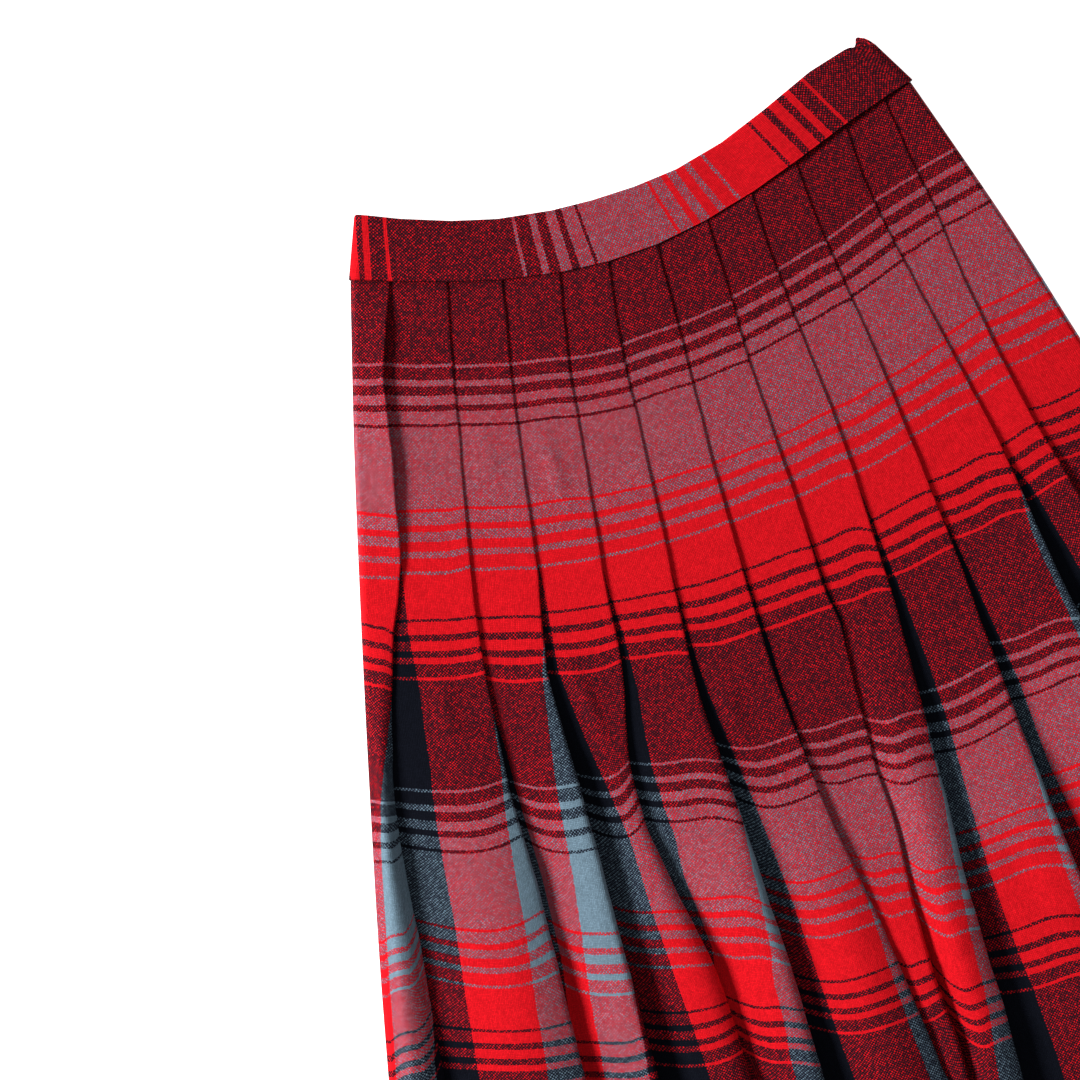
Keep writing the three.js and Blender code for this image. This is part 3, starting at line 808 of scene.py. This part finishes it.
class Nodes:
    """Short names for a material's nodes and links."""

    def __init__(self, name):
        self.material = bpy.data.materials.new(name)
        self.material.use_nodes = True
        self.tree = self.material.node_tree
        self.tree.nodes.clear()

    def add(self, kind, **values):
        node = self.tree.nodes.new(kind)
        for key, value in values.items():
            setattr(node, key, value)
        return node

    def put(self, socket, value):
        if isinstance(value, bpy.types.NodeSocket):
            self.tree.links.new(value, socket)
        else:
            socket.default_value = value

    def math(self, operation, a, b=0.0, c=0.0):
        node = self.add("ShaderNodeMath", operation=operation)
        for socket, value in zip(node.inputs, (a, b, c)):
            self.put(socket, value)
        return node.outputs[0]

    def colour(self, blend, a, b, share=1.0):
        node = self.add("ShaderNodeMix", data_type="RGBA", blend_type=blend)
        self.put(node.inputs[0], share)
        self.put(node.inputs[6], a)
        self.put(node.inputs[7], b)
        return node.outputs[2]

    def bands(self, value, stops):
        """Sharp bands of colour: stops are (place from 0 to 1, colour)."""
        ramp = self.add("ShaderNodeValToRGB")
        ramp.color_ramp.interpolation = "CONSTANT"
        elements = ramp.color_ramp.elements
        while len(elements) > 1:
            elements.remove(elements[-1])
        elements[0].position, elements[0].color = stops[0][0], (*stops[0][1], 1)
        for place, colour in stops[1:]:
            element = elements.new(place)
            element.color = (*colour, 1)
        self.put(ramp.inputs[0], value)
        return ramp.outputs[0]

    def noise(self, vector, scale, detail=2.0, roughness=0.5):
        node = self.add("ShaderNodeTexNoise")
        self.put(node.inputs["Vector"], vector)
        node.inputs["Scale"].default_value = scale
        node.inputs["Detail"].default_value = detail
        node.inputs["Roughness"].default_value = roughness
        return node.outputs["Fac"]

    def power(self, colour, exponent):
        node = self.add("ShaderNodeGamma")
        self.put(node.inputs[0], colour)
        self.put(node.inputs[1], exponent)
        return node.outputs[0]

    def moved(self, vector, step):
        node = self.add("ShaderNodeVectorMath", operation="ADD")
        self.put(node.inputs[0], vector)
        node.inputs[1].default_value = step
        return node.outputs[0]

    def stretched(self, vector, scale):
        node = self.add("ShaderNodeVectorMath", operation="MULTIPLY")
        self.put(node.inputs[0], vector)
        node.inputs[1].default_value = scale
        return node.outputs[0]

    def grey(self, level):
        node = self.add("ShaderNodeCombineXYZ")
        for socket in node.inputs:
            self.put(socket, level)
        return node.outputs[0]

    def remap(self, value, low, high, to_low, to_high):
        node = self.add("ShaderNodeMapRange")
        for socket, number in zip(node.inputs, (value, low, high, to_low, to_high)):
            self.put(socket, number)
        return node.outputs[0]

    def spread(self, noise, low, high):
        """Stretches the middle of a noise, to run from low to high."""
        return self.remap(noise, NOISE_LOW, NOISE_HIGH, low, high)

    def bump(self, height, strength, distance):
        node = self.add("ShaderNodeBump")
        for name, value in (("Strength", strength), ("Distance", distance), ("Height", height)):
            self.put(node.inputs[name], value)
        return node.outputs[0]

    def surface(self, sockets):
        """Joins a shader with these sockets to the output, and gives the material."""
        shader = self.add("ShaderNodeBsdfPrincipled")
        for name, value in sockets.items():
            self.put(shader.inputs[name], value)
        output = self.add("ShaderNodeOutputMaterial")
        self.put(output.inputs[0], shader.outputs[0])
        return self.material


def stripe_stops():
    stops, pair = [], 0
    for colour, count in STRIPES:
        stops.append((max(0.0, pair - STOP_LEAD) / RAMP_STEPS, COLOURS[colour]))
        pair += count
    return stops


def weave_material(name, shift):
    """A soft plain weave. Each yarn takes its band's colour, and shows some of the yarns that cross it."""
    n = Nodes(name)
    uv = n.add("ShaderNodeUVMap", uv_map="cloth").outputs[0]
    split = n.add("ShaderNodeSeparateXYZ")
    n.put(split.inputs[0], uv)
    wander = n.spread(n.noise(uv, WANDER_SCALE), -YARN_WANDER, YARN_WANDER)
    wander_down = n.spread(n.noise(n.moved(uv, WANDER_STEP), WANDER_SCALE), -YARN_WANDER, YARN_WANDER)
    across = n.math("ADD", n.math("DIVIDE", split.outputs[0], WARP_PITCH * MM), wander)
    down = n.math("ADD", n.math("DIVIDE", split.outputs[1], PICK * MM), wander_down)
    end, pick = n.math("FLOOR", across), n.math("FLOOR", down)
    warp_place = n.math("FLOORED_MODULO", n.math("MULTIPLY", end, WARP_PITCH), UNIT)
    warp = n.bands(n.math("DIVIDE", warp_place, UNIT),
                   [(0.0, COLOURS["navy"]), (NAVY_TO_RED / UNIT, COLOURS["red"]),
                    (RED_TO_BLUE / UNIT, COLOURS["blue"])])
    weft_place = n.math("MULTIPLY_ADD", pick, PICK, shift + PICK / 2)
    pair = n.math("FLOOR", n.math("DIVIDE", n.math("FLOORED_MODULO", weft_place, REPEAT), STRIPE_STEP))
    weft = n.bands(n.math("DIVIDE", n.math("ADD", pair, 0.5), RAMP_STEPS), stripe_stops())
    crossing = n.math("ADD", n.math("ADD", end, pick), 0.5)
    over = n.math("LESS_THAN", n.math("FLOORED_MODULO", crossing, 2.0), 1.0)
    # No two crossings are alike
    cell = n.add("ShaderNodeCombineXYZ")
    n.put(cell.inputs[0], end)
    n.put(cell.inputs[1], pick)
    white_noise = n.add("ShaderNodeTexWhiteNoise", noise_dimensions="2D")
    n.put(white_noise.inputs["Vector"], cell.outputs[0])
    random = white_noise.outputs["Value"]
    fleck = n.remap(random, 0.0, 1.0, *FLECK_RANGE)
    second = n.math("FRACT", n.math("MULTIPLY", random, SECOND_DRAW))
    chance = n.remap(second, 0.0, 1.0, -OWN_SPREAD, OWN_SPREAD)
    mottle = n.spread(n.noise(n.moved(uv, MOTTLE_STEP), MOTTLE_SCALE), -MOTTLE, MOTTLE)
    chance = n.math("ADD", chance, mottle)
    # Each yarn is a hump that shows most of its own colour at its crown
    hump_across, hump_down = (
        n.math("SINE", n.math("MULTIPLY", n.math("FRACT", place), math.pi)) for place in (across, down)
    )
    hump = n.math("MULTIPLY", hump_across, hump_down)
    # Painted shade in the gaps between yarns and painted highlight on their crowns, laid over the yarns' real
    # bump
    painted_yarn_light = n.remap(hump, 0.0, HUMP_TOP, GAP_SHADE, CROWN_HIGHLIGHT)
    crown = n.math("POWER", hump, CROWN_SHAPE)
    own = n.math("ADD", n.math("MULTIPLY_ADD", crown, CROWN_SHARE - EDGE_SHARE, EDGE_SHARE), chance)
    own = n.math("MINIMUM", own, 1.0)
    # Dark yarns swallow light, so colours mix as a product and not as a mean
    share = n.remap(over, 0.0, 1.0, n.math("SUBTRACT", 1.0, own), own)
    colour = n.colour("MULTIPLY", n.power(warp, share), n.power(weft, n.math("SUBTRACT", 1.0, share)))
    slub = n.spread(n.noise(n.stretched(uv, SLUB_SCALE), 1.0), *SLUB_RANGE)
    cloud = n.spread(n.noise(uv, CLOUD_SCALE, 3.0), *CLOUD_RANGE)
    # The base colour's brightness: the painted yarn shade and highlight, times the random tone of crossings,
    # slubs and patches
    level = n.math("MULTIPLY", n.math("MULTIPLY", painted_yarn_light, fleck), n.math("MULTIPLY", slub, cloud))
    hair = n.noise(uv, HAIR_SCALE, 3.0, 0.7)
    return n.surface({
        "Base Color": n.colour("MULTIPLY", colour, n.grey(level)),
        "Normal": n.bump(n.math("MULTIPLY_ADD", hair, HAIR_HEIGHT, hump), **WEAVE_BUMP),
        "Roughness": WOOL_ROUGHNESS,
        "Specular IOR Level": WOOL_GLOSS,
    })


def metal_material():
    n = Nodes("hook_nickel")
    place = n.add("ShaderNodeTexCoord").outputs["Object"]
    grain = n.noise(n.stretched(place, BRUSHING), 1.0, 3.0)
    return n.surface({
        "Base Color": NICKEL,
        "Metallic": 1.0,
        "Roughness": n.spread(grain, *NICKEL_ROUGHNESS),
        "Normal": n.bump(grain, **BRUSH_BUMP),
    })


def floor_material():
    n = Nodes("pale_floor")
    place = n.add("ShaderNodeTexCoord").outputs["Object"]
    return n.surface({
        "Base Color": n.grey(n.spread(n.noise(place, FLOOR_SCALE), *FLOOR_TONE)),
        "Roughness": FLOOR_ROUGHNESS,
        "Specular IOR Level": FLOOR_GLOSS,
        "Emission Color": WHITE,
        "Emission Strength": FLOOR_GLOW,
    })


def area_light(name, place, target, size, energy):
    data = bpy.data.lights.new(name, "AREA")
    data.shape = "RECTANGLE"
    data.size, data.size_y = size
    data.energy = energy
    light = bpy.data.objects.new(name, data)
    light.location = place
    light.rotation_euler = (Vector(target) - Vector(place)).to_track_quat("-Z", "Y").to_euler()
    bpy.context.scene.collection.objects.link(light)


def photo_camera():
    data = bpy.data.cameras.new("camera")
    data.lens, data.sensor_width = LENS, SENSOR
    camera = bpy.data.objects.new("camera", data)
    distance = PHOTO_PIXELS * PIXEL * LENS / SENSOR
    camera.location = ((PHOTO_CENTRE[0] + ORIGIN[0]) * MM, (PHOTO_CENTRE[1] + ORIGIN[1]) * MM,
                       (distance + CAMERA_PLANE) * MM)
    camera.rotation_euler = (0, 0, -math.radians(PHOTO_TURN))
    bpy.context.scene.collection.objects.link(camera)
    bpy.context.scene.camera = camera


def studio():
    mesh = bpy.data.meshes.new("floor")
    corners = [(-FLOOR_REACH, -FLOOR_REACH, 0), (FLOOR_REACH, -FLOOR_REACH, 0),
               (FLOOR_REACH, FLOOR_REACH, 0), (-FLOOR_REACH, FLOOR_REACH, 0)]
    mesh.from_pydata(corners, [], [(0, 1, 2, 3)])
    floor = bpy.data.objects.new("floor", mesh)
    floor.location.z = -FLOOR_DROP
    mesh.materials.append(floor_material())
    bpy.context.scene.collection.objects.link(floor)
    world = bpy.data.worlds.new("studio")
    world.use_nodes = True
    background = world.node_tree.nodes["Background"]
    background.inputs[0].default_value = WHITE
    background.inputs[1].default_value = WORLD_LIGHT
    bpy.context.scene.world = world
    for light in LIGHTS:
        area_light(*light)


photo_camera()
studio()

plaid = weave_material("plaid_weave", BODY_SHIFT)
band_plaid = weave_material("band_weave", 0.0)
nickel = metal_material()

front = front_panel()
back = back_panel()
waist = band()
for piece, node, material, slot in (
    (front, "front_panel", plaid, "plaid_cloth"),
    (back, "back_panel", plaid, "plaid_cloth"),
    (waist, "waistband", band_plaid, "band_cloth"),
):
    piece.data.materials.append(material)
    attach(piece, "root")
    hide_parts(node)
for name in ("waist_hook", "waist_bar"):
    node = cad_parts[name]
    node.data.materials.clear()
    node.data.materials.append(nickel)

bpy.context.scene.view_settings.view_transform = "Standard"
